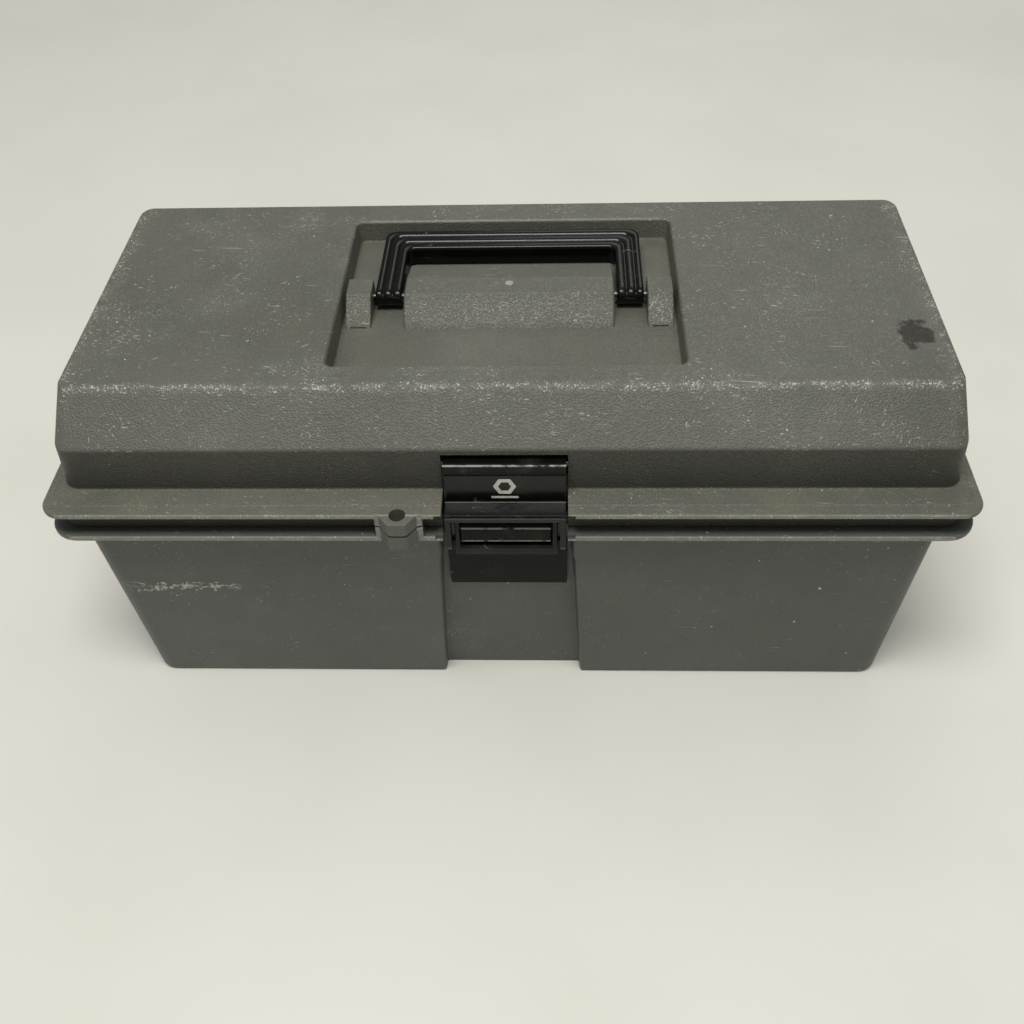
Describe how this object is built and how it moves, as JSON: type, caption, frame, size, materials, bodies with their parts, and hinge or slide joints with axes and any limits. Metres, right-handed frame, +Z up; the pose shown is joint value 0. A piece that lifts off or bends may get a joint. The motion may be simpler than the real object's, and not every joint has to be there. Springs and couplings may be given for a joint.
{
  "type": "tool box",
  "caption": "Moulded tool box with a hinged lid, sunken swing handle, front draw latch, padlock eye and lift-out tray.",
  "frame": {"origin": "middle of the underside, on the surface that the box stands on", "axes": "+X along the box's length to the right seen from the latch side, +Y from the latch side to the hinge side, +Z up"},
  "size_m": [0.457, 0.2632, 0.1847],
  "materials": {
    "tub_plastic": "moulded grey polypropylene, fine leather grain",
    "lid_plastic": "moulded grey polypropylene, fine leather grain, scuffed edges",
    "handle_plastic": "ribbed black moulded nylon",
    "latch_plastic": "glossy black moulded acetal",
    "keeper_plastic": "satin black moulded acetal",
    "pin_steel": "drawn steel wire",
    "screw_steel": "zinc-plated steel",
    "tray_plastic": "moulded light grey polypropylene"
  },
  "bodies": {
    "tub": {"body_tub": "tub_plastic", "latch_keeper": "keeper_plastic", "keeper_screw_left": "screw_steel", "keeper_screw_right": "screw_steel", "hinge_pin_left": "pin_steel", "hinge_pin_middle": "pin_steel", "hinge_pin_right": "pin_steel"},
    "lid": {"lid_shell": "lid_plastic", "handle_pin_left": "pin_steel", "handle_pin_right": "pin_steel", "latch_pin": "pin_steel"},
    "handle": {"carry_handle": "handle_plastic"},
    "lever": {"latch_lever": "latch_plastic"},
    "bail": {"latch_bail": "latch_plastic"},
    "tray": {"tote_tray": "tray_plastic", "tray_grip": "tray_plastic", "tray_divider_1": "tray_plastic", "tray_divider_2": "tray_plastic", "tray_divider_3": "tray_plastic", "tray_divider_4": "tray_plastic"}
  },
  "joints": [
    {"name": "lid_hinge", "type": "hinge", "parent": "tub", "child": "lid", "pos_m": [0, 0.1274, 0.1295], "axis": [-1, 0, 0], "range_deg": [0, 100]},
    {"name": "handle_swing", "type": "hinge", "parent": "lid", "child": "handle", "pos_m": [0, 0.0005, 0.1784], "axis": [1, 0, 0], "range_deg": [0, 180]},
    {"name": "latch_swing", "type": "hinge", "parent": "lid", "child": "lever", "pos_m": [0, -0.1026, 0.1525], "axis": [-1, 0, 0], "range_deg": [0, 50]},
    {"name": "bail_swing", "type": "hinge", "parent": "lever", "child": "bail", "pos_m": [0, -0.1108, 0.1305], "axis": [-1, 0, 0], "range_deg": [0, 30]},
    {"name": "tray_lift", "type": "slide", "parent": "tub", "child": "tray", "axis": [0, 0, 1], "range_m": [0, 0.018]}
  ]
}
